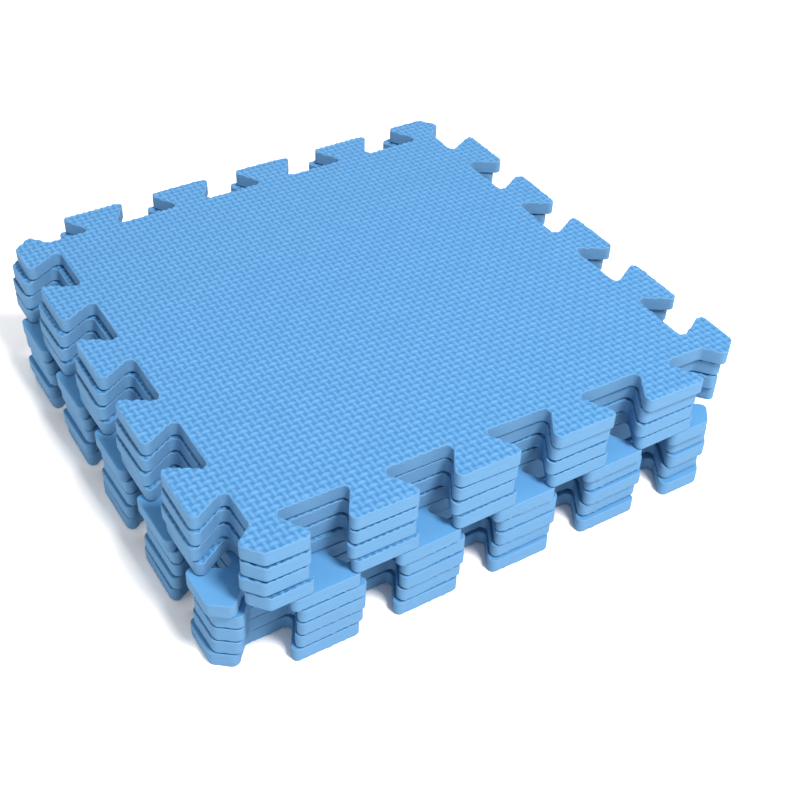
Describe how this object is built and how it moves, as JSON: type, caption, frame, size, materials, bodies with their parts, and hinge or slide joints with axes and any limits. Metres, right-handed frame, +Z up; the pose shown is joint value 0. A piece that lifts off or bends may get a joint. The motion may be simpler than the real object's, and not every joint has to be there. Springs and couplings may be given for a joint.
{
  "type": "blocking mats",
  "caption": "Stack of square foam blocking mats with dovetail toothed edges, some turned over, each lifting off the one below.",
  "frame": {"origin": "middle of the stack's bounding box in plan, on the surface it rests on", "axes": "+Z up through the stack; +X along the front side from its left corner to its right corner as seen in use; +Y from the front side to the back"},
  "size_m": [0.3326, 0.3304, 0.0855],
  "materials": {
    "foam": "matt closed-cell foam, woven pattern embossed on one side"
  },
  "bodies": {
    "mat_1": {"mat_1": "foam"},
    "mat_2": {"mat_2": "foam"},
    "mat_3": {"mat_3": "foam"},
    "mat_4": {"mat_4": "foam"},
    "mat_5": {"mat_5": "foam"},
    "mat_6": {"mat_6": "foam"},
    "mat_7": {"mat_7": "foam"},
    "mat_8": {"mat_8": "foam"},
    "mat_9": {"mat_9": "foam"}
  },
  "joints": [
    {"name": "lift_mat_2", "type": "slide", "parent": "mat_1", "child": "mat_2", "axis": [0, 0, 1], "range_m": [0, 0.06]},
    {"name": "lift_mat_3", "type": "slide", "parent": "mat_2", "child": "mat_3", "axis": [0, 0, 1], "range_m": [0, 0.06]},
    {"name": "lift_mat_4", "type": "slide", "parent": "mat_3", "child": "mat_4", "axis": [0, 0, 1], "range_m": [0, 0.06]},
    {"name": "lift_mat_5", "type": "slide", "parent": "mat_4", "child": "mat_5", "axis": [0, 0, 1], "range_m": [0, 0.06]},
    {"name": "lift_mat_6", "type": "slide", "parent": "mat_5", "child": "mat_6", "axis": [0, 0, 1], "range_m": [0, 0.06]},
    {"name": "lift_mat_7", "type": "slide", "parent": "mat_6", "child": "mat_7", "axis": [0, 0, 1], "range_m": [0, 0.06]},
    {"name": "lift_mat_8", "type": "slide", "parent": "mat_7", "child": "mat_8", "axis": [0, 0, 1], "range_m": [0, 0.06]},
    {"name": "lift_mat_9", "type": "slide", "parent": "mat_8", "child": "mat_9", "axis": [0, 0, 1], "range_m": [0, 0.06]}
  ]
}
